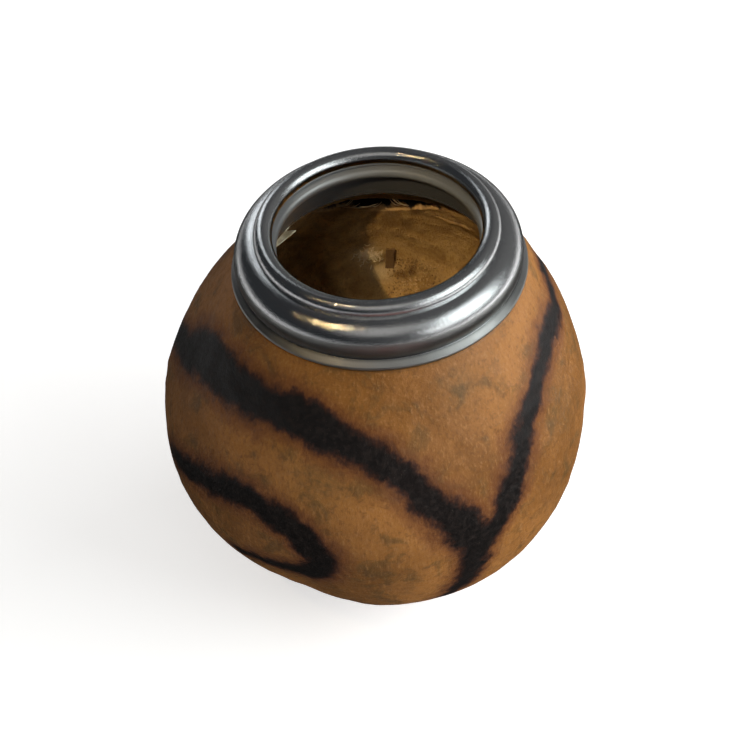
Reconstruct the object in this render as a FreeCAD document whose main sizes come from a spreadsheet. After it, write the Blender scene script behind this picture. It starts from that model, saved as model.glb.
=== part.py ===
"""A mate cup: a dried calabash gourd with a spun metal rim, empty.

The origin is the middle of the flat spot that the gourd stands on. Z is up and
is the axis of the rim, and the gourd's belly leans to -X of it.
"""
import FreeCAD, Part
import math
import os
import re
import Sketcher

doc = FreeCAD.newDocument("mate_cup")

# ------------------------------------------------------------- sizes, in mm
SIZES = {
    # outside of the gourd: round below the belly, drawn in to the shoulder above
    "belly_radius": 44.9,       # greatest radius, along X
    "belly_height": 44.0,
    "rest_cut": 1.5,            # what the flat spot takes off the round bottom
    "round_power": 2.08,         # 2 is an ellipse, more is fuller
    "shoulder_height": 82.9,
    "shoulder_power": 1.85,     # how late the side draws in to the shoulder
    "depth_ratio": 0.97,        # size along Y as a share of the size along X
    "lean": 3.0,                # how far the belly stands to -X of the rim
    "foot_lean_share": -0.9,    # lean left at the base, below 0 past the axis
    # wall of the gourd
    "wall": 4.5,
    "floor_wall": 6.0,
    "neck_rise": 5.3,           # cut neck above the shoulder, inside the rim
    "neck_wall": 2.0,
    "bore_start": 1.5,          # the neck's bore begins this far below the shoulder
    # the rim: one spun sheet folded over the neck
    "sheet": 0.75,
    "mouth_radius": 20.3,       # narrowest place, at the ridge inside the mouth
    "ridge_radius": 1.0,
    "ridge_drop": 3.35,         # ridge below the middle of the lip
    "groove_depth": 0.55,       # groove between the lip and the ridge
    "lip_radius": 1.2,          # the rolled lip
    "lip_inset": 0.15,          # the lip's inside stands this far back from the ridge
    "lip_sink": 0.2,            # how far the lip sinks into the bulge
    "bulge_radius": 4.45,
    "bulge_offset": 0.75,       # middle of the bulge outside the middle of the lip
    "crease_depth": 0.4,        # crease under the bulge, in from its widest
    "flange_reach": 0.95,       # flange beyond the widest of the bulge
    "flange_drop": 0.95,        # edge of the flange below the crease
    "sleeve_drop": 11.05,       # lower edge of the sleeve below the middle of the lip
    "sleeve_flare": 1.2,        # the sleeve widens by this towards its lower edge
    # how the two fit
    "neck_clearance": 0.2,      # between the sleeve and the neck's bore
    "seat_clearance": 0.3,      # between the flange's edge and the shoulder
    "flange_overhang": 0.5,     # the flange's edge stands this far past the shoulder
}

# Places that follow from the sizes. The rim is measured up from the shoulder.
PLACES = {
    "round_depth": "belly_height + rest_cut",
    "inner_radius": "belly_radius - wall",
    "inner_depth": "round_depth - floor_wall",
    "inner_bottom": "inner_depth * 0.99",
    "sleeve_x": "mouth_radius + groove_depth",
    "sleeve_back_x": "sleeve_x + sheet",
    "sleeve_low_x": "sleeve_x + sleeve_flare",
    "bore_radius": "sleeve_low_x + sheet + neck_clearance",
    "neck_radius": "bore_radius + neck_wall",
    "bore_z": "shoulder_height - bore_start",
    "ridge_x": "mouth_radius + ridge_radius",
    "lip_x": "mouth_radius + lip_inset + lip_radius",
    "bulge_x": "lip_x + bulge_offset",
    "bulge_widest": "bulge_x + bulge_radius",
    "crease_x": "bulge_widest - crease_depth",
    "crease_below": "sqrt(bulge_radius ^ 2 - (bulge_radius - crease_depth) ^ 2)",
    "flange_radius": "bulge_widest + flange_reach",
    "shoulder_radius": "flange_radius - flange_overhang",
    "flange_z": "shoulder_height + seat_clearance + sheet",
    "crease_z": "flange_z + flange_drop",
    "bulge_z": "crease_z + crease_below",
    "lip_z": "bulge_z + bulge_radius + lip_radius - lip_sink",
    "ridge_z": "lip_z - ridge_drop",
    "sleeve_z": "lip_z - sleeve_drop",
    "cavity_radius": "bulge_radius - sheet",
}


def bind(text, sheet_of_places="Places."):
    """Puts its sheet's name in front of each size and place in an expression."""
    def with_sheet(match):
        word = match.group(0)
        if word in SIZES:
            return "Sizes." + word
        if word in PLACES:
            return sheet_of_places + word
        return word
    return re.sub(r"[a-z_]+", with_sheet, text)


def fill_sheet(label, cells):
    """A sheet with names in column A and their values, aliased, in column B."""
    made = doc.addObject("Spreadsheet::Sheet", label)
    for row, (name, text) in enumerate(cells.items(), start=1):
        made.set("A%d" % row, name)
        made.set("B%d" % row, text)
        made.setAlias("B%d" % row, name)
        doc.recompute()
    return made


fill_sheet("Sizes", {name: str(value) for name, value in SIZES.items()})
places = fill_sheet("Places", {name: "=" + bind(text, "") for name, text in PLACES.items()})


# ------------------------------------------------------------------ the gourd
LOWER_SHARES = (1.0, 0.985, 0.94, 0.86, 0.74, 0.58, 0.38, 0.18)
UPPER_SHARES = (0.0, 0.16, 0.34, 0.52, 0.70, 0.86, 1.0)


def rings_of(belly, depth, bottom, shoulder, shoulder_z):
    """Height, radius, shift and depth ratio of each ring from the bottom to the
    shoulder, as expressions. bottom is how much of the depth is below the belly."""
    rings = []
    for share in LOWER_SHARES:
        down = "%s * %g" % (bottom, share)
        radius = "%s * sqrt(1 - (%s / %s) ^ round_power)" % (belly, down, depth)
        shift = "-lean * (1 - (1 - foot_lean_share) * (%s / belly_height) ^ 2)" % down
        rings.append(("belly_height - %s" % down, radius, shift, "depth_ratio"))
    for share in UPPER_SHARES:
        height = "belly_height + (%s - belly_height) * %g" % (shoulder_z, share)
        radius = "%s - (%s - %s) * %g ^ shoulder_power" % (belly, belly, shoulder, share)
        shift = "-lean * (1 - %g ^ 2)" % share
        ratio = "1 - (1 - depth_ratio) * (1 - %g ^ 2)" % share
        rings.append((height, radius, shift, ratio))
    return rings


def loft_through(name, rings):
    """A smooth closed loft through level ellipses."""
    sections = []
    for number, (height, radius, shift, ratio) in enumerate(rings):
        ring = doc.addObject("Part::Ellipse", "%s_ring_%02d" % (name, number))
        ring.setExpression("MajorRadius", bind(radius))
        ring.setExpression("MinorRadius", bind("(%s) * (%s)" % (radius, ratio)))
        ring.setExpression("Placement.Base.x", bind(shift))
        ring.setExpression("Placement.Base.z", bind(height))
        sections.append(ring)
    loft = doc.addObject("Part::Loft", name)
    loft.Sections = sections
    loft.Solid = True
    return loft


def post(name, radius, bottom, height):
    """A round post on the rim's axis."""
    made = doc.addObject("Part::Cylinder", name)
    made.setExpression("Radius", bind(radius))
    made.setExpression("Height", bind(height))
    made.setExpression("Placement.Base.z", bind(bottom))
    return made


def joined(kind, name, base, tool):
    """A boolean of two shapes."""
    made = doc.addObject(kind, name)
    made.Base = base
    made.Tool = tool
    return made


outside = loft_through("gourd_outside", rings_of(
    "belly_radius", "round_depth", "belly_height", "shoulder_radius", "shoulder_height"))
inside = loft_through("gourd_inside", rings_of(
    "inner_radius", "inner_depth", "inner_bottom", "bore_radius", "bore_z"))
neck = post("gourd_neck", "neck_radius", "bore_z", "bore_start + neck_rise")
bore = post("gourd_bore", "bore_radius", "bore_z", "bore_start + neck_rise + sheet")
gourd = joined("Part::Cut", "gourd",
               joined("Part::Fuse", "gourd_blank", outside, neck),
               joined("Part::Fuse", "gourd_hollow", inside, bore))


# -------------------------------------------------------------------- the rim
# Half of the rim's section, anticlockwise: up the bulge, round the lip, down the
# inside to the sleeve's lower edge, up the sleeve's back, and over the inside of
# the bulge to the underside of the flange. It is first drawn at its true size.
def value(name):
    """The value of a size or a place."""
    return float(SIZES[name] if name in SIZES else places.get(name))


def on_circle(x, centre, radius, side):
    """The point of a circle at x, on its upper (1) or lower (-1) side."""
    return (x, centre[1] + side * math.sqrt(radius ** 2 - (x - centre[0]) ** 2))


thick = value("sheet")
bulge = (value("bulge_x"), value("bulge_z"))
lip = (value("lip_x"), value("lip_z"))
ridge = (value("ridge_x"), value("ridge_z"))

# the nick where the lip's circle meets the bulge's circle, on the outside
span = math.dist(bulge, lip)
along = (span ** 2 + value("bulge_radius") ** 2 - value("lip_radius") ** 2) / (2 * span)
aside = math.sqrt(value("bulge_radius") ** 2 - along ** 2)
to_lip = ((lip[0] - bulge[0]) / span, (lip[1] - bulge[1]) / span)
nick = (bulge[0] + to_lip[0] * along + to_lip[1] * aside,
        bulge[1] + to_lip[1] * along - to_lip[0] * aside)

crease = (value("crease_x"), value("crease_z"))
lip_end = on_circle(value("sleeve_x"), lip, value("lip_radius"), -1)
ridge_top = on_circle(value("sleeve_x"), ridge, value("ridge_radius"), 1)
ridge_end = on_circle(value("sleeve_x"), ridge, value("ridge_radius"), -1)
sleeve_edge = (value("sleeve_low_x"), value("sleeve_z"))
sleeve_corner = (sleeve_edge[0] + thick, sleeve_edge[1])
sleeve_back = (value("sleeve_back_x"), ridge_end[1])
cavity_start = on_circle(value("sleeve_back_x"), bulge, value("cavity_radius"), 1)

# the flange's two faces are parallel, and the lower one ends on the cavity
flange = (value("flange_radius"), value("flange_z"))
length = math.dist(crease, flange)
out = ((flange[0] - crease[0]) / length, (flange[1] - crease[1]) / length)
flange_low = (flange[0] + thick * out[1], flange[1] - thick * out[0])
reach = (flange_low[0] - bulge[0], flange_low[1] - bulge[1])
middle = reach[0] * out[0] + reach[1] * out[1]
back = middle - math.sqrt(
    middle ** 2 - reach[0] ** 2 - reach[1] ** 2 + value("cavity_radius") ** 2)
cavity_end = (flange_low[0] - back * out[0], flange_low[1] - back * out[1])

rim = doc.addObject("PartDesign::Body", "rim")
section = rim.newObject("Sketcher::SketchObject", "rim_section")
upright = [plane for plane in rim.Origin.OriginFeatures if plane.Role == "XZ_Plane"][0]
section.AttachmentSupport = [(upright, "")]
section.MapMode = "FlatFace"


def arc(centre, radius, start, end):
    """An arc drawn anticlockwise from one point to another."""
    first = math.atan2(start[1] - centre[1], start[0] - centre[0])
    last = math.atan2(end[1] - centre[1], end[0] - centre[0])
    turn = (last - first) % (2 * math.pi)
    circle = Part.Circle(FreeCAD.Vector(*centre, 0), FreeCAD.Vector(0, 0, 1), radius)
    return section.addGeometry(Part.ArcOfCircle(circle, first, first + turn))


def line(start, end):
    """A straight piece of the section."""
    ends = (FreeCAD.Vector(*start, 0), FreeCAD.Vector(*end, 0))
    return section.addGeometry(Part.LineSegment(*ends))


def rule(kind, *where):
    """A constraint with no size."""
    section.addConstraint(Sketcher.Constraint(kind, *where))


def bound(kind, name, *where):
    """A constraint whose size follows a cell of the sheets."""
    number = section.addConstraint(Sketcher.Constraint(kind, *where, value(name)))
    section.setExpression("Constraints[%d]" % number, bind(name))


ORIGIN = (-1, 1)
START, END, CENTRE = 1, 2, 3
bulge_arc = arc(bulge, value("bulge_radius"), crease, nick)
lip_arc = arc(lip, value("lip_radius"), nick, lip_end)
groove_line = line(lip_end, ridge_top)
ridge_arc = arc(ridge, value("ridge_radius"), ridge_top, ridge_end)
sleeve_line = line(ridge_end, sleeve_edge)
edge_line = line(sleeve_edge, sleeve_corner)
flare_line = line(sleeve_corner, sleeve_back)
back_line = line(sleeve_back, cavity_start)
cavity_arc = arc(bulge, value("cavity_radius"), cavity_end, cavity_start)
under_line = line(cavity_end, flange_low)
tip_line = line(flange_low, flange)
top_line = line(flange, crease)

for first, second in (
        ((bulge_arc, END), (lip_arc, START)), ((lip_arc, END), (groove_line, START)),
        ((groove_line, END), (ridge_arc, START)), ((ridge_arc, END), (sleeve_line, START)),
        ((sleeve_line, END), (edge_line, START)), ((edge_line, END), (flare_line, START)),
        ((flare_line, END), (back_line, START)), ((back_line, END), (cavity_arc, END)),
        ((cavity_arc, START), (under_line, START)), ((under_line, END), (tip_line, START)),
        ((tip_line, END), (top_line, START)), ((top_line, END), (bulge_arc, START)),
        ((cavity_arc, CENTRE), (bulge_arc, CENTRE))):
    rule("Coincident", *first, *second)

for name, curve in (("bulge", bulge_arc), ("lip", lip_arc), ("ridge", ridge_arc)):
    bound("DistanceX", name + "_x", *ORIGIN, curve, CENTRE)
    bound("DistanceY", name + "_z", *ORIGIN, curve, CENTRE)
    bound("Radius", name + "_radius", curve)
bound("Radius", "cavity_radius", cavity_arc)
for name, curve, end in (
        ("crease_x", bulge_arc, START), ("sleeve_x", lip_arc, END),
        ("sleeve_x", ridge_arc, END), ("sleeve_low_x", sleeve_line, END),
        ("sleeve_back_x", flare_line, END), ("flange_radius", top_line, START)):
    bound("DistanceX", name, *ORIGIN, curve, end)
bound("DistanceY", "sleeve_z", *ORIGIN, sleeve_line, END)
bound("DistanceY", "flange_z", *ORIGIN, top_line, START)
bound("Distance", "sheet", edge_line)
bound("Distance", "sheet", tip_line)
rule("Vertical", groove_line)
rule("Vertical", back_line)
rule("Horizontal", edge_line)
rule("Horizontal", ridge_arc, END, flare_line, END)
rule("Parallel", top_line, under_line)
rule("Perpendicular", top_line, tip_line)

doc.recompute()
spin = rim.newObject("PartDesign::Revolution", "rim_spin")
spin.Profile = section
spin.ReferenceAxis = (section, ["V_Axis"])
spin.Angle = 360
doc.recompute()

# ------------------------------------------------------------------- the files
for item in doc.Objects:
    if "Invalid" in item.State or "Error" in item.State:
        raise RuntimeError("%s failed: %s" % (item.Name, item.State))
for node in (gourd, rim):
    if node.Shape.isNull() or not node.Shape.isValid() or len(node.Shape.Solids) != 1:
        raise RuntimeError("%s isn't one valid solid" % node.Label)

os.makedirs("parts", exist_ok=True)
for node in (gourd, rim):
    node.Shape.exportStep("parts/%s.step" % node.Label)
    box = node.Shape.BoundBox
    print("%s: %.1f cm3, X %.1f..%.1f, Y %.1f..%.1f, Z %.1f..%.1f" % (
        node.Label, node.Shape.Volume / 1000, box.XMin, box.XMax, box.YMin, box.YMax,
        box.ZMin, box.ZMax))
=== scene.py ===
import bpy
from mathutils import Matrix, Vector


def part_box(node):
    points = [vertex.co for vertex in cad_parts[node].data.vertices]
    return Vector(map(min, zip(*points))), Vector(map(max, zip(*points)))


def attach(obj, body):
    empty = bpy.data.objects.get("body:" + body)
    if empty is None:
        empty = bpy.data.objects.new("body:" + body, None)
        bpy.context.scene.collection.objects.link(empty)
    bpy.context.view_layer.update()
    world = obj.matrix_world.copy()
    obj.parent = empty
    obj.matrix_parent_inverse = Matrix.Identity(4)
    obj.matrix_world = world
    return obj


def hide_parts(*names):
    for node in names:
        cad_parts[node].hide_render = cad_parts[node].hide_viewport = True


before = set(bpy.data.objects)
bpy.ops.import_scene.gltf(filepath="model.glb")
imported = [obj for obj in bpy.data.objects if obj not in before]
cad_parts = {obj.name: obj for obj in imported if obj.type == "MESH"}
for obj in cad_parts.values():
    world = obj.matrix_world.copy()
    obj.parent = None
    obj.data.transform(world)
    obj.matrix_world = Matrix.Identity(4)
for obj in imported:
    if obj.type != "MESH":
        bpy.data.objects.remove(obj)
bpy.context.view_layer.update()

import math

import bmesh
import bpy
import numpy as np
from mathutils import Matrix, Vector
from mathutils.bvhtree import BVHTree

# A mate cup: a dried calabash gourd with burnt stripes and a polished spun rim, empty.

# ------------------------------------------------------------------ the camera
# It looks down into the mouth from the front, 49 degrees above the floor, and is
# rolled a little, so the cup leans to the left in the picture.
camera_data = bpy.data.cameras.new("camera")
camera_data.sensor_width = 36
camera_data.lens = 52.8
camera = bpy.data.objects.new("camera", camera_data)
bpy.context.scene.collection.objects.link(camera)
across, upward = Vector((0.9967, -0.0611, -0.0533)), Vector((0.0811, 0.7511, 0.6552))
turned = Matrix((across, upward, across.cross(upward))).transposed()
camera.matrix_world = Matrix.Translation((-0.0025, -0.1520, 0.2250)) @ turned.to_4x4()
bpy.context.scene.camera = camera

# ------------------------------------------------------------------- the gourd
# A calabash, cut off at the neck, cured and dried. Its skin is thin, hard and
# waxed, burnt in stripes with a hot iron, and its inside is scraped bare wood.
low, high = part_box("gourd")
middle = np.array((low + high) / 2)
solid = bmesh.new()
solid.from_mesh(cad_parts["gourd"].data)
bmesh.ops.remove_doubles(solid, verts=solid.verts, dist=1e-6)
shell = BVHTree.FromBMesh(solid)
solid.free()

COLUMNS = 300
turns = np.arange(COLUMNS) * 2 * math.pi / COLUMNS
hub = Vector((0, 0, middle[2]))


def direction(turn, rise):
    """A unit vector from two angles in radians: around +Z, and above level."""
    return Vector((math.cos(rise) * math.cos(turn), math.cos(rise) * math.sin(turn),
                   math.sin(rise)))


def radius_rows(rises, outside):
    """How far the gourd's skin or its inner wall is from the hub, row by row."""
    rows = np.zeros((len(rises), COLUMNS))
    for i, rise in enumerate(rises):
        for j, turn in enumerate(turns):
            out = direction(turn, rise)
            start, aim = (hub + out * 0.09, -out) if outside else (hub, out)
            rows[i, j] = (shell.ray_cast(start, aim)[0] - hub).length
    return rows


def eased(rows, times):
    """The rows with the small flats of the CAD mesh smoothed out; the last row stays."""
    weights = np.array((1, 4, 6, 4, 1)) / 16
    for _ in range(times):
        over_pole = np.roll(rows[2:0:-1], COLUMNS // 2, axis=1)
        beyond = 2 * rows[-1] - rows[-2:-4:-1]
        tall = np.vstack((over_pole, rows, beyond))
        rows = sum(w * tall[k:k + len(rows)] for k, w in enumerate(weights))
        rows = sum(w * np.roll(rows, k - 2, axis=1) for k, w in enumerate(weights))
    return rows


def places(rises, radii):
    """Points of the rows, from their rises and radii about the hub."""
    rises = np.asarray(rises)[:, None]
    flat = radii * np.cos(rises)
    return np.stack((flat * np.cos(turns), flat * np.sin(turns),
                     hub.z + radii * np.sin(rises)), axis=-1)


neck_top = high.z
shoulder_z = neck_top - 0.0053
bore_z = shoulder_z - 0.0015


def reach(z, outside):
    """The neck's radius at a height, from outside or from the bore."""
    start = Vector((0.08, 0, z)) if outside else Vector((0, 0, z))
    aim = Vector((-1, 0, 0)) if outside else Vector((1, 0, 0))
    return abs(shell.ray_cast(start, aim)[0].x)


def ring(radius, z):
    """One row of points on a level circle."""
    return np.stack((radius * np.cos(turns), radius * np.sin(turns),
                     np.full(COLUMNS, z)), axis=-1)[None]


shoulder = reach(shoulder_z - 0.0001, True)
neck = reach(neck_top - 0.001, True)
bore = reach(neck_top - 0.001, False)
skin_rises = np.linspace(-math.pi / 2, math.atan2(shoulder_z - hub.z, shoulder), 190)
even_rises = np.linspace(-math.pi / 2, math.atan2(bore_z - hub.z, bore), 96)
skin_radii = eased(radius_rows(skin_rises[:-1], True), 3)
skin_radii = np.vstack((skin_radii, np.full(COLUMNS, math.hypot(shoulder_z - hub.z, shoulder))))
wall_radii = eased(radius_rows(even_rises[:-1], False), 4)
wall_radii = np.vstack((wall_radii, np.full(COLUMNS, math.hypot(bore_z - hub.z, bore))))
# the inner wall's rows stand closer together at the height of the tear
wall_rises = np.radians(np.concatenate((
    np.linspace(-90, 34, 72, endpoint=False), np.linspace(34, 52, 46, endpoint=False),
    np.linspace(52, math.degrees(even_rises[-1]), 8))))
wall_radii = np.stack([np.interp(wall_rises, even_rises, column)
                       for column in wall_radii.T], axis=1)


def heading(east, rise):
    """A direction from the belly's middle, in degrees east of +X and above level."""
    east, rise = math.radians(east), math.radians(rise)
    return np.array((math.cos(rise) * math.cos(east), math.cos(rise) * math.sin(east),
                     math.sin(rise)))


def bearings(points):
    """Unit directions of points from the belly's middle, and their distances."""
    away = points - middle
    far = np.linalg.norm(away, axis=-1, keepdims=True)
    return away / far, far[..., 0]


def close_to(points, east, rise, spread):
    """1 at a place on the gourd, fading to 0 over a spread in metres."""
    unit, far = bearings(points)
    gap = np.linalg.norm(unit - heading(east, rise), axis=-1) * far
    return np.exp(-(gap / spread) ** 2)


def waves(points, size, seed, count=18):
    """A smooth random unevenness from -1 to 1, with bumps about a size apart."""
    draw = np.random.default_rng(seed)
    total = np.zeros(points.shape[:-1])
    for _ in range(count):
        way = draw.normal(size=3)
        way *= draw.uniform(0.6, 1.4) * 2 * math.pi / size / np.linalg.norm(way)
        total += np.sin(points @ way + draw.uniform(0, 2 * math.pi))
    return total / math.sqrt(count / 2) / 2


skin = places(skin_rises, skin_radii)
free = np.clip((shoulder_z - skin[..., 2]) / 0.006, 0, 1)
relief = -0.0004 * np.abs(waves(skin, 0.030, 3)) - 0.00018 * np.abs(waves(skin, 0.009, 5))
relief -= 0.0020 * close_to(skin, -118, -17, 0.012)
relief += 0.0005 * close_to(skin, -48, 43, 0.0012) - 0.0006 * close_to(skin, -48, 43, 0.0006)
relief += 0.0004 * close_to(skin, -46, 40, 0.0009)
relief -= 0.0004 * close_to(skin, -54, 15, 0.0009)
skin = places(skin_rises, skin_radii + relief * free)
skin[..., 2] = np.maximum(skin[..., 2], low.z)


def smooth_path(rows, steps=14):
    """A smooth line of directions and widths through rows of east, rise, width."""
    knots = np.array([(*heading(east, rise), width) for east, rise, width in rows])
    knots = np.vstack((2 * knots[0] - knots[1], knots, 2 * knots[-1] - knots[-2]))
    out = []
    for a, b, c, d in zip(knots, knots[1:], knots[2:], knots[3:]):
        for t in np.arange(steps) / steps:
            out.append(0.5 * (2 * b + (c - a) * t + (2 * a - 5 * b + 4 * c - d) * t * t
                              + (3 * b - a - 3 * c + d) * t ** 3))
    return np.array(out + [knots[-2]])


def outside_of(points, path):
    """How far points are outside a band along a path, in mm; inside is negative."""
    unit, far = bearings(points.reshape(-1, 3))
    best = np.full(len(unit), 1e3)
    for *way, width in path:
        gap = np.linalg.norm(unit - np.array(way) / np.linalg.norm(way), axis=1)
        best = np.minimum(best, gap * far * 1000 - width / 2)
    return best.reshape(points.shape[:-1])


# each stripe's middle line: degrees east of +X, degrees above level, width in mm
STRIPES = (
    ((-190, 25, 3), (-175, 32, 6), (-166, 39, 8), (-153, 42, 8.2), (-138, 43, 7.4),
     (-126, 44, 6.8), (-114, 43, 6.2), (-103, 40, 5.8), (-93, 36, 5.6), (-85, 30, 5.4),
     (-78, 22, 5.4), (-72, 14, 6), (-67, 4, 7), (-67, -5, 5.6), (-69, -16, 4), (-72, -28, 2)),
    ((8, 40, 3), (-7, 38, 3.4), (-19, 39, 3.8), (-30, 37, 3.8), (-36, 34, 3.8),
     (-42, 31, 4), (-47, 27, 4.2), (-50, 22, 4.6), (-53, 18, 4.8), (-56, 13, 4.6),
     (-60, 7, 3.8), (-64, 0, 2.8)),
    ((-162, 5, 2), (-155, 9, 3.4), (-144, 13, 4.4), (-133, 17, 5), (-125, 17, 5),
     (-119, 15, 5), (-113, 12, 5.2), (-109, 6, 5.6), (-107, 2, 6), (-110, -5, 5.6),
     (-116, -8, 5), (-124, -10, 4), (-133, -11, 2)),
    ((20, 34, 4), (16, 24, 4.6), (15, 12, 5), (18, 0, 5.4), (25, -10, 5), (35, -18, 3)),
    ((60, 44, 4), (75, 34, 6), (92, 27, 6.6), (110, 24, 6), (126, 16, 5.4),
     (138, 4, 5), (146, -12, 3)),
    ((60, 8, 3), (74, 2, 5), (90, -4, 5.4), (104, -14, 4), (112, -26, 2)),
)
SOAKED = 0.5  # mm that the burn's soft edge takes from each side of a stripe
burn = SOAKED + np.min([outside_of(skin, smooth_path(rows)) for rows in STRIPES], axis=0)

# the inner wall: knife marks, and a tear in its skin under the back of the sleeve; the tear and its
# cracks are hollowed, and their hollow is also painted near-black as shade
TEAR = ((106, 47, 1.2), (101, 47.2, 3), (96, 46.4, 4.4), (91.5, 46, 5.4), (87.5, 44.4, 5.8),
        (83.5, 43.2, 5.6), (79.5, 42.8, 5.4), (75.5, 43, 5), (72, 43.8, 4.4), (68, 44, 3.6),
        (63, 44.6, 2.8), (57, 45.4, 1.6))
CRACKS = ((60, 38, 0.3), (55, 36.5, 0.5), (51, 37.2, 0.5), (46, 37, 0.3))
wall = places(wall_rises, wall_radii)
covered = np.clip((bore_z - wall[..., 2]) / 0.004, 0, 1)
GAPE = 0.5  # mm that the tear has opened on each side since it split
tear = np.minimum(outside_of(wall, smooth_path(TEAR)) - GAPE,
                  outside_of(wall, smooth_path(CRACKS)))
torn = tear + 0.5 * waves(wall, 0.0035, 21) + 0.3 * waves(wall, 0.0016, 22)
hollow = 0.0016 * np.clip(0.25 - torn / 1.4, 0, 1) - 0.00015 * np.exp(-((torn - 0.7) / 0.5) ** 2)
wall = places(wall_rises, wall_radii + covered * (
    hollow + 0.0004 * waves(wall, 0.016, 11) + 0.00015 * waves(wall, 0.005, 12)))

rows = [skin, ring(neck, shoulder_z), ring(neck, neck_top), ring(bore, neck_top),
        wall[::-1]]
grid = np.concatenate(rows)
inside_from = len(skin) + 1
count = len(grid)
points = np.vstack((grid[0, :1], grid[1:-1].reshape(-1, 3), grid[-1, :1]))
points[0, :2] = points[-1, :2] = 0
faces, materials = [], []
for i in range(count - 1):
    for j in range(COLUMNS):
        k = (j + 1) % COLUMNS
        lower, upper = 1 + (i - 1) * COLUMNS, 1 + i * COLUMNS
        if i == 0:
            faces.append((0, upper + k, upper + j))
        elif i == count - 2:
            faces.append((lower + j, lower + k, len(points) - 1))
        else:
            faces.append((lower + j, lower + k, upper + k, upper + j))
        materials.append(int(i >= inside_from))
gourd_mesh = bpy.data.meshes.new("gourd_shell")
gourd_mesh.from_pydata(points.tolist(), [], faces)
gourd_mesh.polygons.foreach_set("use_smooth", [True] * len(faces))
gourd_mesh.polygons.foreach_set("material_index", materials)


def to_points(on_skin, on_wall):
    """One value for each vertex of the shell, from the skin's rows and the wall's."""
    hidden = np.full((3, COLUMNS), 50.0)
    rows = np.concatenate((on_skin, hidden, on_wall[::-1]))
    return np.concatenate((rows[0, :1], rows[1:-1].ravel(), rows[-1, :1]))


blotch = 0.7 * close_to(skin, -107, 29, 0.006) + close_to(skin, -122, 24, 0.0009)
blotch += 0.8 * close_to(skin, -127, 30, 0.0008) + 0.5 * close_to(skin, -62, 47, 0.004)
blotch += 0.5 * close_to(skin, -85, 34, 0.004) + 0.4 * close_to(skin, -30, 20, 0.005)
for_wall = 0.8 * close_to(wall, 77, -3, 0.0012) + 0.8 * close_to(wall, 73.5, -1.5, 0.0012)
for_wall += 0.7 * close_to(wall, 69, 1, 0.0012) - 0.8 * close_to(wall, 89, 8, 0.0028)
for_wall -= 0.5 * close_to(wall, 84, -1, 0.003)
for name, on_skin, on_wall in (("burn", burn, np.full(wall.shape[:2], 50.0)),
                               ("tear", np.full(skin.shape[:2], 50.0), tear),
                               ("blotch", blotch, for_wall)):
    gourd_mesh.attributes.new(name, "FLOAT", "POINT").data.foreach_set(
        "value", to_points(on_skin, on_wall).astype(np.float32))
gourd = bpy.data.objects.new("gourd_shell", gourd_mesh)
bpy.context.scene.collection.objects.link(gourd)


def add(tree, kind, sockets=None, **settings):
    """A shader or geometry node, its settings, and its sockets' values or links."""
    node = tree.nodes.new(kind)
    for name, value in settings.items():
        setattr(node, name, value)
    for name, value in (sockets or {}).items():
        if isinstance(value, bpy.types.NodeSocket):
            tree.links.new(value, node.inputs[name])
        else:
            node.inputs[name].default_value = value
    return node


def calc(tree, operation, first, second=0.0, third=0.0, clamp=False):
    """The output of one Math node."""
    return add(tree, "ShaderNodeMath", {0: first, 1: second, 2: third},
               operation=operation, use_clamp=clamp).outputs[0]


def fade(tree, value, low_end, high_end, low_value=0.0, high_value=1.0):
    """A value eased from one end to the other."""
    return add(tree, "ShaderNodeMapRange", {
        0: value, 1: low_end, 2: high_end, 3: low_value, 4: high_value},
        interpolation_type="SMOOTHSTEP").outputs[0]


def blend(tree, share, first, second, how="MIX"):
    """The colour of one Mix node; plain colours are given as three numbers."""
    first, second = [(*c, 1.0) if isinstance(c, tuple) else c for c in (first, second)]
    return add(tree, "ShaderNodeMix", {0: share, 6: first, 7: second},
               data_type="RGBA", blend_type=how, clamp_result=False).outputs[2]


def noise(tree, where, scale, detail=4.0, rough=0.55, warp=0.0):
    """The grey of one noise texture."""
    return add(tree, "ShaderNodeTexNoise", {
        "Vector": where, "Scale": scale, "Detail": detail, "Roughness": rough,
        "Distortion": warp}).outputs[0]


def material(name):
    """A new material with an empty tree, its object coordinates and its shader."""
    made = bpy.data.materials.new(name)
    made.use_nodes = True
    tree = made.node_tree
    tree.nodes.clear()
    where = add(tree, "ShaderNodeTexCoord").outputs["Object"]
    shader = add(tree, "ShaderNodeBsdfPrincipled")
    add(tree, "ShaderNodeOutputMaterial", {"Surface": shader.outputs[0]})
    return made, tree, where, shader


def bump(tree, height, distance, strength=1.0, under=None):
    """The normal of one bump node, with a distance in metres."""
    sockets = {"Height": height, "Distance": distance, "Strength": strength}
    if under is not None:
        sockets["Normal"] = under
    return add(tree, "ShaderNodeBump", sockets).outputs[0]


def attribute(tree, name):
    """A value stored on the mesh's points."""
    return add(tree, "ShaderNodeAttribute", attribute_name=name).outputs["Fac"]


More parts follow.
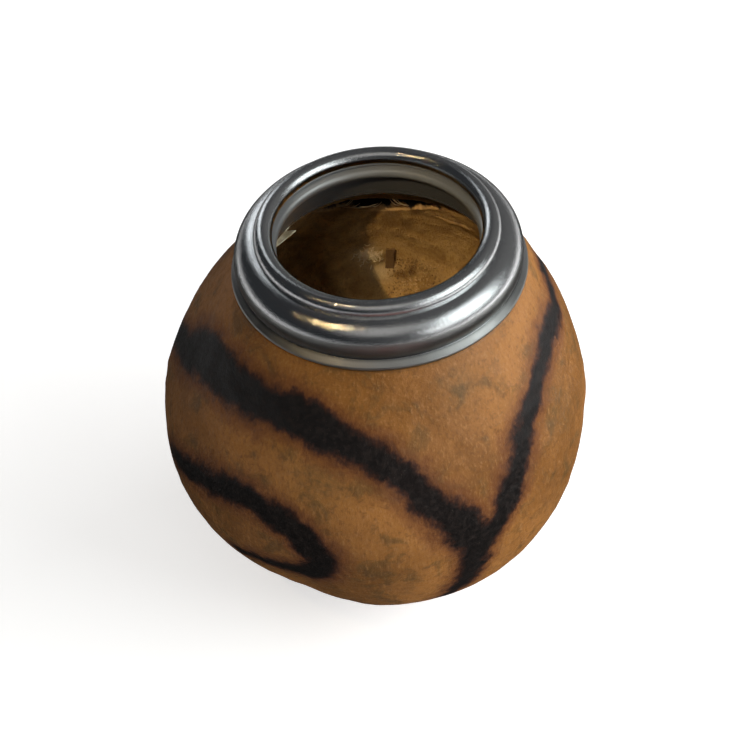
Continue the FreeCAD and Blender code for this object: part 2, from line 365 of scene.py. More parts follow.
# the grain of dried gourd: soft mottles, short streaks up the wall, and specks
grain = bpy.data.node_groups.new("plant_grain", "ShaderNodeTree")
for name, kind, way in (
        ("Vector", "NodeSocketVector", "INPUT"), ("Scale", "NodeSocketFloat", "INPUT"),
        ("Stretch", "NodeSocketFloat", "INPUT"), ("Mottle", "NodeSocketFloat", "OUTPUT"),
        ("Streak", "NodeSocketFloat", "OUTPUT"), ("Speck", "NodeSocketFloat", "OUTPUT")):
    grain.interface.new_socket(name, in_out=way, socket_type=kind)
given = add(grain, "NodeGroupInput").outputs
drawn_out = add(grain, "ShaderNodeVectorMath", {
    0: given["Vector"], 1: add(grain, "ShaderNodeCombineXYZ", {
        "X": 1.0, "Y": 1.0, "Z": given["Stretch"]}).outputs[0]}, operation="MULTIPLY").outputs[0]
add(grain, "NodeGroupOutput", {
    "Mottle": noise(grain, given["Vector"], given["Scale"], 6, 0.62, 0.5),
    "Streak": noise(grain, drawn_out, calc(grain, "MULTIPLY", given["Scale"], 13.0), 4, 0.6),
    "Speck": noise(grain, given["Vector"], calc(grain, "MULTIPLY", given["Scale"], 22.0), 3, 0.6)})


def group_node(tree, group, sockets):
    """The outputs of a shader group, with its named inputs set or linked."""
    node = tree.nodes.new("ShaderNodeGroup")
    node.node_tree = group
    for name, value in sockets.items():
        if isinstance(value, bpy.types.NodeSocket):
            tree.links.new(value, node.inputs[name])
        else:
            node.inputs[name].default_value = value
    return node.outputs


skin_finish, tree, where, shader = material("gourd_skin")
of_skin = group_node(tree, grain, {"Vector": where, "Scale": 150.0, "Stretch": 0.22})
mottle, streak, speck = (of_skin[name] for name in ("Mottle", "Streak", "Speck"))
broad = noise(tree, where, 28, 3, 0.5, 0.3)
small = noise(tree, where, 800, 5, 0.65, 0.3)
colour = blend(tree, fade(tree, broad, 0.36, 0.64), (0.190, 0.074, 0.012), (0.345, 0.142, 0.029))
colour = blend(tree, fade(tree, mottle, 0.52, 0.66, 0, 0.65), colour, (0.105, 0.058, 0.016))
colour = blend(tree, fade(tree, mottle, 0.46, 0.30, 0, 0.45), colour, (0.350, 0.150, 0.037))
colour = blend(tree, fade(tree, small, 0.52, 0.70, 0, 0.45), colour, (0.100, 0.046, 0.013))
colour = blend(tree, fade(tree, streak, 0.52, 0.70, 0, 0.40), colour, (0.41, 0.20, 0.070))
colour = blend(tree, fade(tree, streak, 0.46, 0.32, 0, 0.35), colour, (0.12, 0.048, 0.012))
blotched = calc(tree, "MULTIPLY", attribute(tree, "blotch"), fade(tree, small, 0.3, 0.6, 0.3, 1.0))
colour = blend(tree, calc(tree, "MULTIPLY", blotched, 0.85, clamp=True), colour,
               (0.095, 0.062, 0.022))
edge = attribute(tree, "burn")
ragged = calc(tree, "MULTIPLY_ADD", noise(tree, where, 150, 4, 0.55, 0.4), 6.0, -3.0)
tufted = calc(tree, "MULTIPLY_ADD", noise(tree, where, 420, 5, 0.6, 0.3), 3.0, -1.5)
hairy = calc(tree, "MULTIPLY_ADD", streak, 1.8, -0.9)
edge = calc(tree, "ADD", calc(tree, "ADD", edge, ragged), calc(tree, "ADD", tufted, hairy))
colour = blend(tree, fade(tree, edge, 5.6, 1.6, 0, 0.75), colour, (0.130, 0.040, 0.011))
colour = blend(tree, fade(tree, edge, 2.4, 0.5, 0, 0.9), colour, (0.036, 0.012, 0.008))
soot = blend(tree, fade(tree, small, 0.42, 0.66), (0.0060, 0.0046, 0.0042), (0.0150, 0.0105, 0.0090))
soot = blend(tree, fade(tree, speck, 0.66, 0.76, 0, 0.7), soot, (0.12, 0.10, 0.085))
colour = blend(tree, fade(tree, edge, 1.3, -0.4), colour, soot)
tree.links.new(colour, shader.inputs["Base Color"])
tree.links.new(fade(tree, small, 0.35, 0.65, 0.40, 0.56), shader.inputs["Roughness"])
shader.inputs["Specular IOR Level"].default_value = 0.35
shader.inputs["Coat Weight"].default_value = 0.1
shader.inputs["Coat Roughness"].default_value = 0.30
dimpled = bump(tree, mottle, 0.0006, 0.6)
pored = bump(tree, small, 0.00025, 0.7, dimpled)
tree.links.new(bump(tree, streak, 0.00008, 0.7, pored), shader.inputs["Normal"])

flesh_finish, tree, where, shader = material("gourd_inside")
of_wall = group_node(tree, grain, {"Vector": where, "Scale": 130.0, "Stretch": 0.6})
cloudy, fibrous, crumb = (of_wall[name] for name in ("Mottle", "Streak", "Speck"))
stained = attribute(tree, "blotch")
colour = blend(tree, fade(tree, cloudy, 0.36, 0.62), (0.200, 0.108, 0.034), (0.360, 0.212, 0.075))
colour = blend(tree, fade(tree, fibrous, 0.50, 0.70, 0, 0.6), colour, (0.150, 0.072, 0.020))
colour = blend(tree, fade(tree, crumb, 0.60, 0.74, 0, 0.5), colour, (0.56, 0.38, 0.17))
colour = blend(tree, calc(tree, "MULTIPLY", stained, 0.9, clamp=True), colour, (0.050, 0.026, 0.010))
colour = blend(tree, calc(tree, "MULTIPLY", stained, -0.9, clamp=True), colour, (0.62, 0.47, 0.25))
edge = calc(tree, "ADD", attribute(tree, "tear"), calc(
    tree, "MULTIPLY_ADD", noise(tree, where, 900, 4, 0.6), 1.4, -0.7))
colour = blend(tree, fade(tree, edge, 1.2, 0.3, 0, 0.45), colour, (0.34, 0.20, 0.09))
# painted shade: the hollow of the tear and of the cracks is painted near-black, for the shade that
# fills it
colour = blend(tree, fade(tree, edge, 0.25, -0.3), colour, (0.0045, 0.0035, 0.0030))
tree.links.new(colour, shader.inputs["Base Color"])
shader.inputs["Roughness"].default_value = 0.72
shader.inputs["Specular IOR Level"].default_value = 0.3
rough_face = bump(tree, cloudy, 0.0014, 0.6)
rough_face = bump(tree, fibrous, 0.0004, 0.8, rough_face)
tree.links.new(bump(tree, crumb, 0.0003, 0.5, rough_face), shader.inputs["Normal"])

gourd_mesh.materials.append(skin_finish)
gourd_mesh.materials.append(flesh_finish)
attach(gourd, "root")
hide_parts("gourd")

# --------------------------------------------------------------------- the rim
# One thin sheet of metal, spun on a lathe: a bead outside, a flange that presses
# on the gourd, a broad rolled lip, and a sleeve down inside the mouth. Polished.
# The circles of its section: radius from the axis, height above the shoulder, radius; mm.
lip, bulge, ridge = (20.95, 8.62, 1.75), (22.4, 3.84, 4.45), (19.75, 5.5, 1.0)


def arc(circle, start, end, step=4.0):
    """Points of a circle between two angles in degrees, in mm above the shoulder."""
    x, z, radius = circle
    angles = np.radians(np.linspace(start, end, max(2, int(abs(end - start) / step) + 1)))
    return [(x + radius * math.cos(a), z + radius * math.sin(a)) for a in angles]


def run(start, end, step=0.35):
    """Points of a straight run, without its last."""
    count = max(2, int(math.dist(start, end) / step) + 1)
    return [tuple(np.array(start) + (np.array(end) - np.array(start)) * t)
            for t in np.arange(count) / count]


outer = arc(bulge, -24.4, 86.6, 2.4) + arc(lip, -10, 228, 6)
inner = run((20.2, 6.95), (20.1, 6.55)) + arc(ridge, 105, 240, 8)
sleeve = run((20.75, 4.15), (22.05, -1.76)) + run((22.05, -1.76), (22.80, -1.76))
sleeve += run((22.80, -1.76), (21.60, 5.05)) + run((21.60, 5.05), (21.60, 7.45))
under = arc((22.4, 3.84, 3.70), 102.5, -34, 3.5)
flange = run((25.45, 1.75), (27.19, 0.52)) + arc((27.42, 0.84, 0.375), -125, 55, 18)
flange += run((27.63, 1.16), (26.45, 2.00))
outline = outer + inner + sleeve + under + flange

section = bpy.data.curves.new("rim_section", "CURVE")
section.dimensions = "3D"
spline = section.splines.new("POLY")
spline.points.add(len(outline) - 1)
for point, (x, z) in zip(spline.points, outline):
    point.co = (x / 1000, 0, shoulder_z + z / 1000, 1)
spline.use_cyclic_u = True
section_object = bpy.data.objects.new("rim_section", section)
bpy.context.scene.collection.objects.link(section_object)

spun = bpy.data.node_groups.new("spun_ring", "GeometryNodeTree")
for name, kind, way in (
        ("Section", "NodeSocketGeometry", "INPUT"), ("Rows", "NodeSocketInt", "INPUT"),
        ("Columns", "NodeSocketInt", "INPUT"), ("Unevenness", "NodeSocketFloat", "INPUT"),
        ("Finish", "NodeSocketMaterial", "INPUT"), ("Ring", "NodeSocketGeometry", "OUTPUT")):
    spun.interface.new_socket(name, in_out=way, socket_type=kind)
given = add(spun, "NodeGroupInput").outputs
sheet = add(spun, "GeometryNodeMeshGrid", {
    "Size X": 1.0, "Size Y": 1.0,
    "Vertices X": calc(spun, "ADD", given["Columns"], 1.0),
    "Vertices Y": calc(spun, "ADD", given["Rows"], 1.0)}).outputs["Mesh"]
flat = add(spun, "ShaderNodeSeparateXYZ", {0: add(spun, "GeometryNodeInputPosition").outputs[0]})
angle = calc(spun, "MULTIPLY", calc(spun, "ADD", flat.outputs[0], 0.5), 2 * math.pi)
row = calc(spun, "ROUND", calc(spun, "MULTIPLY", calc(spun, "ADD", flat.outputs[1], 0.5),
                               given["Rows"]))
row = calc(spun, "MODULO", row, given["Rows"])
sampled = add(spun, "GeometryNodeSampleIndex", {
    "Geometry": given["Section"], "Index": row}, data_type="FLOAT_VECTOR", domain="POINT")
spun.links.new(add(spun, "GeometryNodeInputPosition").outputs[0],
               [s for s in sampled.inputs if s.name == "Value" and s.enabled][0])
half = add(spun, "ShaderNodeSeparateXYZ", {
    0: [s for s in sampled.outputs if s.enabled][0]}).outputs
on_circle = add(spun, "ShaderNodeCombineXYZ", {
    "X": calc(spun, "MULTIPLY", half[0], calc(spun, "COSINE", angle)),
    "Y": calc(spun, "MULTIPLY", half[0], calc(spun, "SINE", angle)), "Z": half[2]}).outputs[0]
placed = add(spun, "GeometryNodeSetPosition", {"Geometry": sheet, "Position": on_circle})
closed = add(spun, "GeometryNodeMergeByDistance", {
    "Geometry": placed.outputs[0], "Distance": 1e-6}).outputs[0]
place = add(spun, "GeometryNodeInputPosition").outputs[0]
lumps = add(spun, "ShaderNodeTexNoise", {"Vector": place, "Scale": 70.0, "Detail": 1.0})
shift = add(spun, "ShaderNodeVectorMath", {0: lumps.outputs["Color"], 1: (-0.5, -0.5, -0.5)},
            operation="ADD").outputs[0]
shift = add(spun, "ShaderNodeVectorMath", {0: shift, "Scale": given["Unevenness"]},
            operation="SCALE").outputs[0]
worked = add(spun, "GeometryNodeSetPosition", {"Geometry": closed, "Offset": shift})
smooth = add(spun, "GeometryNodeSetShadeSmooth", {0: worked.outputs[0]}).outputs[0]
whole = add(spun, "GeometryNodeRealizeInstances", {0: smooth}).outputs[0]
finished = add(spun, "GeometryNodeSetMaterial", {
    "Geometry": whole, "Material": given["Finish"]}).outputs[0]
add(spun, "NodeGroupOutput", {"Ring": finished})

metal_finish, tree, where, shader = material("rim_metal")
part = add(tree, "ShaderNodeSeparateXYZ", {0: where}).outputs
around = calc(tree, "ARCTAN2", part[1], part[0])
radius = calc(tree, "SQRT", calc(tree, "ADD", calc(tree, "MULTIPLY", part[0], part[0]),
                                 calc(tree, "MULTIPLY", part[1], part[1])))
lathe = add(tree, "ShaderNodeCombineXYZ", {
    "X": calc(tree, "MULTIPLY", around, 0.0012), "Y": radius, "Z": part[2]}).outputs[0]
turned_lines = noise(tree, lathe, 3200, 2, 0.5)
smears = noise(tree, where, 240, 4, 0.6, 0.6)
specks = noise(tree, where, 2600, 4, 0.75)
on_flange = fade(tree, radius, 0.02640, 0.02660)
in_mouth = calc(tree, "MULTIPLY", fade(tree, radius, 0.0222, 0.0218),
                fade(tree, part[2], shoulder_z + 0.0076, shoulder_z + 0.0067))
colour = blend(tree, fade(tree, specks, 0.56, 0.72, 0, 0.5), (0.66, 0.665, 0.67), (0.34, 0.33, 0.32))
tree.links.new(calc(tree, "MULTIPLY_ADD", in_mouth, -0.3, 1.0), shader.inputs["Metallic"])
gloss = fade(tree, smears, 0.42, 0.66, 0.09, 0.22)
gloss = calc(tree, "MAXIMUM", gloss, calc(tree, "MULTIPLY", in_mouth, 0.34))
gloss = calc(tree, "ADD", gloss, calc(tree, "MULTIPLY", on_flange, 0.20))
colour = blend(tree, on_flange, colour, (0.42, 0.42, 0.41))
colour = blend(tree, in_mouth, colour, (0.23, 0.235, 0.235))
# painted shade: the crease between the bulge and the flange is darkened in the base colour, for the
# shade that falls in it
crease_shade = calc(tree, "MULTIPLY", fade(tree, part[2], shoulder_z + 0.0034, shoulder_z + 0.0021),
                 fade(tree, radius, 0.0270, 0.0265, 0, 0.6))
colour = blend(tree, crease_shade, colour, (0.05, 0.05, 0.05))
tree.links.new(colour, shader.inputs["Base Color"])
tree.links.new(gloss, shader.inputs["Roughness"])
scored = bump(tree, turned_lines, 0.00006, calc(tree, "MULTIPLY_ADD", in_mouth, 0.6, 0.15))
tree.links.new(bump(tree, specks, 0.00007, 0.6, scored), shader.inputs["Normal"])

maker = section_object.modifiers.new("spun", "NODES")
maker.node_group = spun
sizes = {"Rows": len(outline), "Columns": 360, "Unevenness": 0.00012, "Finish": metal_finish}
for item in spun.interface.items_tree:
    if item.item_type == "SOCKET" and item.name in sizes:
        maker[item.identifier] = sizes[item.name]
bpy.context.view_layer.update()
seen = section_object.evaluated_get(bpy.context.evaluated_depsgraph_get())
rim_mesh = bpy.data.meshes.new_from_object(seen)
rim_mesh.name = "rim_ring"
section_object.modifiers.clear()
bpy.data.objects.remove(section_object)
tidy = bmesh.new()
tidy.from_mesh(rim_mesh)
bmesh.ops.recalc_face_normals(tidy, faces=tidy.faces)
tidy.to_mesh(rim_mesh)
tidy.free()
rim_mesh.set_sharp_from_angle(angle=math.radians(32))
rim = bpy.data.objects.new("rim_ring", rim_mesh)
bpy.context.scene.collection.objects.link(rim)
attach(rim, "root")
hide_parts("rim")

# ------------------------------------------------------------ fibres of the pith
# What the scraping left inside: a few bridges of fibre across the tear, and a pale
# tuft on the back wall. Each is a thin strand that follows its own short line.
def on_wall(east, rise, lift=0.0):
    """A point of the inner wall, lifted off it towards the middle, in metres."""
    start, way = Vector(middle), Vector(heading(east, rise))
    return shell.ray_cast(start, way)[0] - way * lift


STRANDS = (((99, 44.4), (93, 48.5)), ((97, 44), (92, 49)), ((96, 42.2), (89.5, 43.6)),
           ((94, 41.2), (83.5, 41.6)), ((90, 41), (82, 42.4)), ((76, 47), (71, 41.4)),
           ((74, 46), (70, 41)), ((77, 46), (73.5, 40.6)), ((85, 40), (80.5, 43.6)))
lines = []
for start, end in STRANDS:
    lines.append([on_wall(start[0] + (end[0] - start[0]) * t, start[1] + (end[1] - start[1]) * t,
                          -0.0003 + 0.0005 * math.sin(math.pi * t)) for t in np.linspace(0, 1, 6)])
draw = np.random.default_rng(41)
for _ in range(120):
    east, rise = 88.0 + draw.normal() * 2.0, 8.4 + draw.normal() * 1.6
    lean, rear = draw.uniform(-2.4, 2.4), draw.uniform(-2.2, 2.2)
    lines.append([on_wall(east + lean * t, rise + rear * t,
                          0.0001 + 0.0009 * math.sin(2.4 * t) * draw.uniform(0.7, 1.1))
                  for t in np.linspace(0, 1, 5)])
line_mesh = bpy.data.meshes.new("fibre_lines")
ends = np.cumsum([0] + [len(line) for line in lines])
line_mesh.from_pydata([tuple(p) for line in lines for p in line],
                      [(k, k + 1) for a, b in zip(ends, ends[1:]) for k in range(a, b - 1)], [])
line_object = bpy.data.objects.new("fibre_lines", line_mesh)
bpy.context.scene.collection.objects.link(line_object)

fibre_finish, tree, where, shader = material("pith_fibre")
of_fibre = group_node(tree, grain, {"Vector": where, "Scale": 300.0, "Stretch": 0.6})
tree.links.new(blend(tree, of_fibre["Mottle"], (0.30, 0.19, 0.09), (0.72, 0.56, 0.33)),
               shader.inputs["Base Color"])
tree.links.new(bump(tree, of_fibre["Streak"], 0.0001), shader.inputs["Normal"])
shader.inputs["Roughness"].default_value = 0.7


def made_by_nodes(name, source, build, sizes):
    """A plain mesh object from a source and a node tree with named inputs."""
    group = bpy.data.node_groups.new(name, "GeometryNodeTree")
    group.interface.new_socket("Source", in_out="INPUT", socket_type="NodeSocketGeometry")
    kinds = {int: "NodeSocketInt", float: "NodeSocketFloat"}
    for title, value in sizes.items():
        group.interface.new_socket(title, in_out="INPUT", socket_type=kinds.get(
            type(value), "NodeSocketMaterial"))
    group.interface.new_socket("Result", in_out="OUTPUT", socket_type="NodeSocketGeometry")
    given = add(group, "NodeGroupInput").outputs
    whole = add(group, "GeometryNodeRealizeInstances", {0: build(group, given)}).outputs[0]
    add(group, "NodeGroupOutput", {"Result": add(group, "GeometryNodeSetMaterial", {
        "Geometry": whole, "Material": given["Finish"]}).outputs[0]})
    modifier = source.modifiers.new(name, "NODES")
    modifier.node_group = group
    for item in group.interface.items_tree:
        if item.item_type == "SOCKET" and item.name in sizes:
            modifier[item.identifier] = sizes[item.name]
    bpy.context.view_layer.update()
    seen = source.evaluated_get(bpy.context.evaluated_depsgraph_get())
    mesh = bpy.data.meshes.new_from_object(seen)
    source.modifiers.clear()
    bpy.data.objects.remove(source)
    mesh.name = name
    made = bpy.data.objects.new(name, mesh)
    bpy.context.scene.collection.objects.link(made)
    return made


def fibre_tree(group, given):
    """Each line becomes a strand that thins towards its ends."""
    curves = add(group, "GeometryNodeMeshToCurve", {"Mesh": given["Source"]}).outputs[0]
    along = add(group, "GeometryNodeSplineParameter").outputs["Factor"]
    waist = calc(group, "SINE", calc(group, "MULTIPLY_ADD", along, 2.4, 0.37))
    thick = calc(group, "MULTIPLY", waist, given["Radius"])
    ring = add(group, "GeometryNodeCurvePrimitiveCircle", {"Resolution": 6, "Radius": 1.0})
    tube = add(group, "GeometryNodeCurveToMesh", {
        "Curve": curves, "Profile Curve": ring.outputs[0], "Scale": thick,
        "Fill Caps": True}).outputs[0]
    return add(group, "GeometryNodeSetShadeSmooth", {0: tube}).outputs[0]


fibres = made_by_nodes("pith_fibres", line_object, fibre_tree,
                       {"Radius": 0.00011, "Finish": fibre_finish})
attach(fibres, "root")

# ------------------------------------------------------------- crumbs on the wall
# Dry crumbs of pith that stuck to the back wall when the gourd was scraped out.
patch = bmesh.new()
spots = [[patch.verts.new(on_wall(east, rise, 0.0001)) for east in np.arange(56, 84, 2)]
         for rise in np.arange(-16, 8, 2)]
for lower, upper in zip(spots, spots[1:]):
    for k in range(len(lower) - 1):
        patch.faces.new((lower[k], lower[k + 1], upper[k + 1], upper[k]))
patch_mesh = bpy.data.meshes.new("crumb_patch")
patch.to_mesh(patch_mesh)
patch.free()
patch_object = bpy.data.objects.new("crumb_patch", patch_mesh)
bpy.context.scene.collection.objects.link(patch_object)
crumb_finish, tree, where, shader = material("pith_crumb")
of_crumb = group_node(tree, grain, {"Vector": where, "Scale": 260.0, "Stretch": 1.0})
tree.links.new(blend(tree, fade(tree, of_crumb["Mottle"], 0.35, 0.65), (0.10, 0.05, 0.018),
                     (0.44, 0.27, 0.11)), shader.inputs["Base Color"])
tree.links.new(bump(tree, of_crumb["Speck"], 0.0001), shader.inputs["Normal"])
shader.inputs["Roughness"].default_value = 0.8


def crumb_tree(group, given):
    """Small turned lumps, scattered over the patch."""
    scattered = add(group, "GeometryNodeDistributePointsOnFaces", {
        "Mesh": given["Source"], "Density": given["Density"], "Seed": given["Seed"]})
    lump = add(group, "GeometryNodeMeshIcoSphere", {"Radius": 1.0, "Subdivisions": 1})
    spin = add(group, "FunctionNodeRandomValue", data_type="FLOAT_VECTOR")
    grow = add(group, "FunctionNodeRandomValue", data_type="FLOAT_VECTOR")
    for node, least, most in ((spin, (0, 0, 0), (6.28, 6.28, 6.28)),
                              (grow, (0.5, 0.35, 0.3), (1.5, 1.2, 0.9))):
        node.inputs[0].default_value, node.inputs[1].default_value = least, most
        group.links.new(given["Seed"], node.inputs["Seed"])
    size = add(group, "ShaderNodeVectorMath", {
        0: grow.outputs[0], "Scale": given["Size"]}, operation="SCALE").outputs[0]
    placed = add(group, "GeometryNodeInstanceOnPoints", {
        "Points": scattered.outputs[0], "Instance": lump.outputs[0], "Scale": size})
    group.links.new(spin.outputs[0], placed.inputs["Rotation"])
    return placed.outputs[0]


crumbs = made_by_nodes("pith_crumbs", patch_object, crumb_tree,
                       {"Density": 1900000.0, "Seed": 7, "Size": 0.00026,
                        "Finish": crumb_finish})
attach(crumbs, "root")

# ------------------------------------------------------------ a chip on the wall
# A dark flake of scorched skin, pressed flat on the back wall.
CHIP = ((81.6, 11.4, 78.5), (82.0, 8.6, 78.9), (82.2, 6.0, 79.0), (82.6, 3.4, 79.3),
        (82.9, 0.8, 79.7))
chip_rows = []
for (left, rise, right), (next_left, next_rise, next_right) in zip(CHIP, CHIP[1:]):
    for t in (0, 0.34, 0.67):
        a, b = left + (next_left - left) * t, right + (next_right - right) * t
        chip_rows.append((a, rise + (next_rise - rise) * t, b))
chip_rows.append(CHIP[-1])
flake = bmesh.new()
draw = np.random.default_rng(5)
rows = []
for left, rise, right in chip_rows:
    left, right = left + draw.uniform(-0.25, 0.25), right + draw.uniform(-0.25, 0.25)
    rows.append([flake.verts.new(on_wall(east, rise + draw.uniform(-0.1, 0.1), 0.00020
                                         + 0.0001 * draw.random()))
                 for east in np.linspace(left, right, 8)])
for lower, upper in zip(rows, rows[1:]):
    for k in range(7):
        flake.faces.new((lower[k], lower[k + 1], upper[k + 1], upper[k]))
chip_mesh = bpy.data.meshes.new("wall_chip")
flake.to_mesh(chip_mesh)
flake.free()
chip = bpy.data.objects.new("wall_chip", chip_mesh)
bpy.context.scene.collection.objects.link(chip)
chip_finish, tree, where, shader = material("scorched_flake")
of_chip = group_node(tree, grain, {"Vector": where, "Scale": 260.0, "Stretch": 0.3})
tree.links.new(blend(tree, of_chip["Mottle"], (0.066, 0.035, 0.014), (0.160, 0.090, 0.038)),
               shader.inputs["Base Color"])
tree.links.new(bump(tree, of_chip["Streak"], 0.0002), shader.inputs["Normal"])
shader.inputs["Roughness"].default_value = 0.7
chip_mesh.materials.append(chip_finish)


def thickened(piece, thickness):
    """Gives a sheet its thickness and soft edges, and makes the result plain."""
    solid = piece.modifiers.new("thick", "SOLIDIFY")
    solid.thickness, solid.offset = thickness, 0.0
    soft = piece.modifiers.new("soft", "SUBSURF")
    soft.levels = soft.render_levels = 1
    bpy.context.view_layer.update()
    seen = piece.evaluated_get(bpy.context.evaluated_depsgraph_get())
    mesh = bpy.data.meshes.new_from_object(seen)
    piece.modifiers.clear()
    piece.data = mesh
    tidy = bmesh.new()
    tidy.from_mesh(mesh)
    bmesh.ops.recalc_face_normals(tidy, faces=tidy.faces)
    tidy.to_mesh(mesh)
    tidy.free()
    mesh.polygons.foreach_set("use_smooth", [True] * len(mesh.polygons))


thickened(chip, 0.0003)
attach(chip, "root")

# ------------------------------------------------- a torn scrap under the sleeve
# A scrap of the gourd's pale inner membrane, caught under the left of the sleeve
# when the rim was pressed in, and torn into two points.
HELD = ((-22.7, 11.6, 78.6), (-22.1, 13.3, 78.5), (-21.0, 15.4, 78.5), (-19.5, 17.6, 78.6))
TORN = ((-19.9, 10.8, 79.5), (-18.7, 12.2, 79.2), (-17.7, 13.1, 79.1), (-16.6, 13.6, 79.2),
        (-15.6, 14.2, 79.5), (-16.7, 14.7, 79.1), (-17.7, 15.1, 78.9), (-17.8, 15.9, 78.9),
        (-17.3, 16.7, 79.1), (-16.6, 17.9, 79.4), (-17.8, 18.2, 79.0))


def along_line(line, t):
    """A point at a share of a line's knots, in metres."""
    k = min(int(t * (len(line) - 1)), len(line) - 2)
    share = t * (len(line) - 1) - k
    return (np.array(line[k]) * (1 - share) + np.array(line[k + 1]) * share) / 1000


scrap_bm = bmesh.new()
draw = np.random.default_rng(17)
rows = []
for t in np.linspace(0, 1, 31):
    held, torn_end = along_line(HELD, t), along_line(TORN, t)
    row = []
    for share in np.linspace(0, 1, 9):
        p = held * (1 - share) + torn_end * share
        p[2] += 0.0005 * math.sin(5 * share + 7 * t) * share + draw.uniform(-1, 1) * 0.00008
        row.append(scrap_bm.verts.new(p))
    rows.append(row)
for lower, upper in zip(rows, rows[1:]):
    for k in range(8):
        scrap_bm.faces.new((lower[k], lower[k + 1], upper[k + 1], upper[k]))
scrap_mesh = bpy.data.meshes.new("membrane_scrap")
scrap_bm.to_mesh(scrap_mesh)
scrap_bm.free()
scrap = bpy.data.objects.new("membrane_scrap", scrap_mesh)
bpy.context.scene.collection.objects.link(scrap)
scrap_finish, tree, where, shader = material("pale_membrane")
of_scrap = group_node(tree, grain, {"Vector": where, "Scale": 420.0, "Stretch": 0.5})
tree.links.new(blend(tree, fade(tree, of_scrap["Mottle"], 0.3, 0.7), (0.52, 0.42, 0.24),
                     (0.80, 0.74, 0.56)), shader.inputs["Base Color"])
tree.links.new(bump(tree, of_scrap["Streak"], 0.0002), shader.inputs["Normal"])
shader.inputs["Roughness"].default_value = 0.65
scrap_mesh.materials.append(scrap_finish)
thickened(scrap, 0.00025)
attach(scrap, "root")

# -------------------------------------------------------------------- the stage
# A white table, lit by a window to the right, one behind on the left, a small warm
# lamp at the front left, and soft sheets of light that the metal doesn't reflect.
floor_mesh = bpy.data.meshes.new("floor")
floor_mesh.from_pydata([(-3, -3, 0), (3, -3, 0), (3, 3, 0), (-3, 3, 0)], [], [(0, 1, 2, 3)])
floor = bpy.data.objects.new("floor", floor_mesh)
bpy.context.scene.collection.objects.link(floor)
table = bpy.data.materials.new("white_table")
table.use_nodes = True
tree = table.node_tree
tree.nodes.clear()
path = add(tree, "ShaderNodeLightPath").outputs
seen_by = calc(tree, "MAXIMUM", path["Is Camera Ray"], calc(
    tree, "MAXIMUM", path["Is Glossy Ray"], path["Is Transmission Ray"]))
matt = add(tree, "ShaderNodeBsdfDiffuse", {"Color": (0.82, 0.82, 0.82, 1)}).outputs[0]
glow = add(tree, "ShaderNodeEmission", {"Strength": calc(tree, "MULTIPLY", seen_by, 0.57)})
add(tree, "ShaderNodeOutputMaterial", {"Surface": add(
    tree, "ShaderNodeAddShader", {0: matt, 1: glow.outputs[0]}).outputs[0]})
floor_mesh.materials.append(table)


def lamp(name, east, rise, distance, wide, tall, watts, colour, reflected=True):
    """An area light that looks at the cup from a direction in degrees."""
    light = bpy.data.lights.new(name, "AREA")
    light.shape = "RECTANGLE"
    light.size, light.size_y = wide, tall
    light.energy, light.color = watts, colour
    way = Vector(heading(east, rise))
    lit = bpy.data.objects.new(name, light)
    lit.matrix_world = Matrix.Translation(Vector((0, 0, 0.06)) + way * distance) @ (
        way.to_track_quat("Z", "Y").to_matrix().to_4x4())
    lit.visible_glossy = reflected
    bpy.context.scene.collection.objects.link(lit)


def beam(name, east, rise, watts, colour, size):
    """A narrow spot lamp that shines into the mouth only."""
    light = bpy.data.lights.new(name, "SPOT")
    light.energy, light.color, light.shadow_soft_size = watts, colour, size
    light.spot_size, light.spot_blend = math.radians(5.6), 0.25
    way = Vector(heading(east, rise))
    lit = bpy.data.objects.new(name, light)
    lit.matrix_world = Matrix.Translation(Vector((0, 0, 0.088)) + way * 0.45) @ (
        way.to_track_quat("Z", "Y").to_matrix().to_4x4())
    lit.visible_glossy = False
    bpy.context.scene.collection.objects.link(lit)


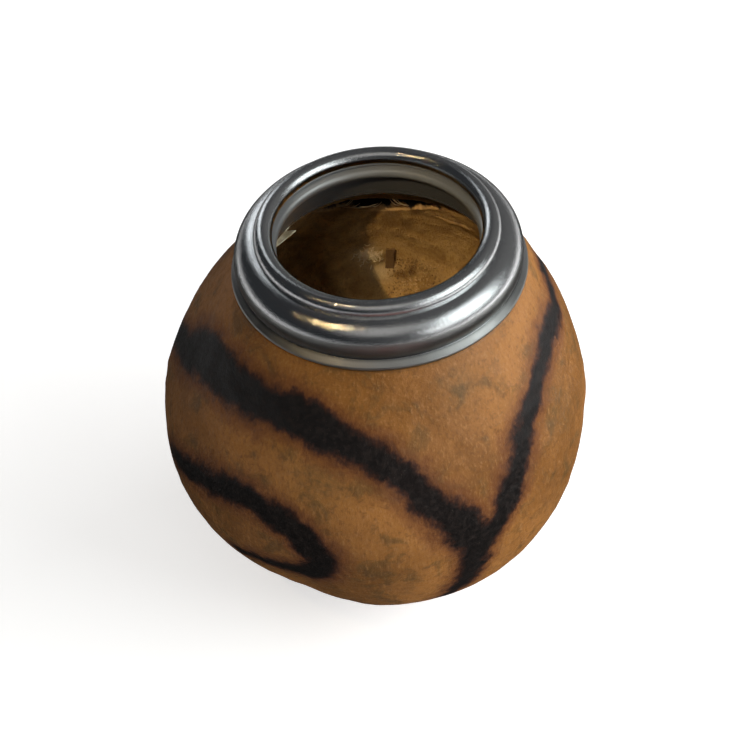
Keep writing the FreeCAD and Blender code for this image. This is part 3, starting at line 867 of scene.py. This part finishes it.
lamp("window_right", -20, 34, 0.70, 0.40, 0.50, 1.5, (0.92, 1.0, 1.0))
lamp("window_low", -50, 24, 0.70, 0.14, 0.26, 0.26, (0.97, 1.0, 1.0))
lamp("fill_right", 0, 26, 0.70, 0.90, 0.50, 5.6, (1.0, 1.0, 1.0), False)
lamp("window_behind", 116, 30, 0.70, 0.16, 0.40, 0.30, (0.92, 0.97, 1.0))
lamp("lamp_small", -149, 62, 0.45, 0.010, 0.010, 0.10, (1.0, 0.72, 0.36))
lamp("ceiling", -98, 60, 0.80, 0.60, 0.50, 0.30, (1.0, 0.98, 0.94))
lamp("fill_low", -62, 3, 0.80, 0.70, 0.30, 2.0, (1.0, 0.95, 0.90), False)
lamp("overhead", 90, 89, 1.00, 1.20, 1.20, 2.0, (1.0, 1.0, 1.0), False)
beam("beam_warm", -120.5, 50, 9.0, (1.0, 0.80, 0.50), 0.006)
beam("beam_cool", -103.5, 49, 1.8, (1.0, 0.95, 0.88), 0.012)


def dark_card(name, corners, colour):
    """A matt card below the cup that only shows in its reflections."""
    mesh = bpy.data.meshes.new(name)
    mesh.from_pydata(corners, [], [tuple(range(len(corners)))])
    card = bpy.data.objects.new(name, mesh)
    bpy.context.scene.collection.objects.link(card)
    made = bpy.data.materials.new(name)
    made.use_nodes = True
    made.node_tree.nodes["Principled BSDF"].inputs["Base Color"].default_value = (*colour, 1)
    made.node_tree.nodes["Principled BSDF"].inputs["Roughness"].default_value = 0.9
    mesh.materials.append(made)
    for kind in ("camera", "diffuse", "shadow", "transmission", "volume_scatter"):
        setattr(card, "visible_" + kind, False)


dark_card("card_below", [(-0.34, -0.9, 0.001), (0.30, -0.9, 0.001), (0.30, 0.6, 0.001),
                         (-0.34, 0.6, 0.001)], (0.035, 0.035, 0.035))
dark_card("card_front", [(-0.12, -0.60, 0.002), (0.12, -0.60, 0.002), (0.10, -0.16, 0.002),
                         (-0.10, -0.16, 0.002)], (0.22, 0.11, 0.10))

# the room: dim on the left, brighter to the right
world = bpy.data.worlds.new("studio")
world.use_nodes = True
tree = world.node_tree
way = add(tree, "ShaderNodeSeparateXYZ", {
    0: add(tree, "ShaderNodeTexCoord").outputs["Generated"]}).outputs
room = blend(tree, fade(tree, way[0], -0.6, 0.9), (0.030, 0.032, 0.035), (0.15, 0.15, 0.15))
seen_by = add(tree, "ShaderNodeLightPath").outputs["Is Camera Ray"]
tree.links.new(blend(tree, seen_by, room, (1.0, 1.0, 1.0)),
               tree.nodes["Background"].inputs["Color"])
bpy.context.scene.world = world
bpy.context.scene.view_settings.view_transform = "Standard"
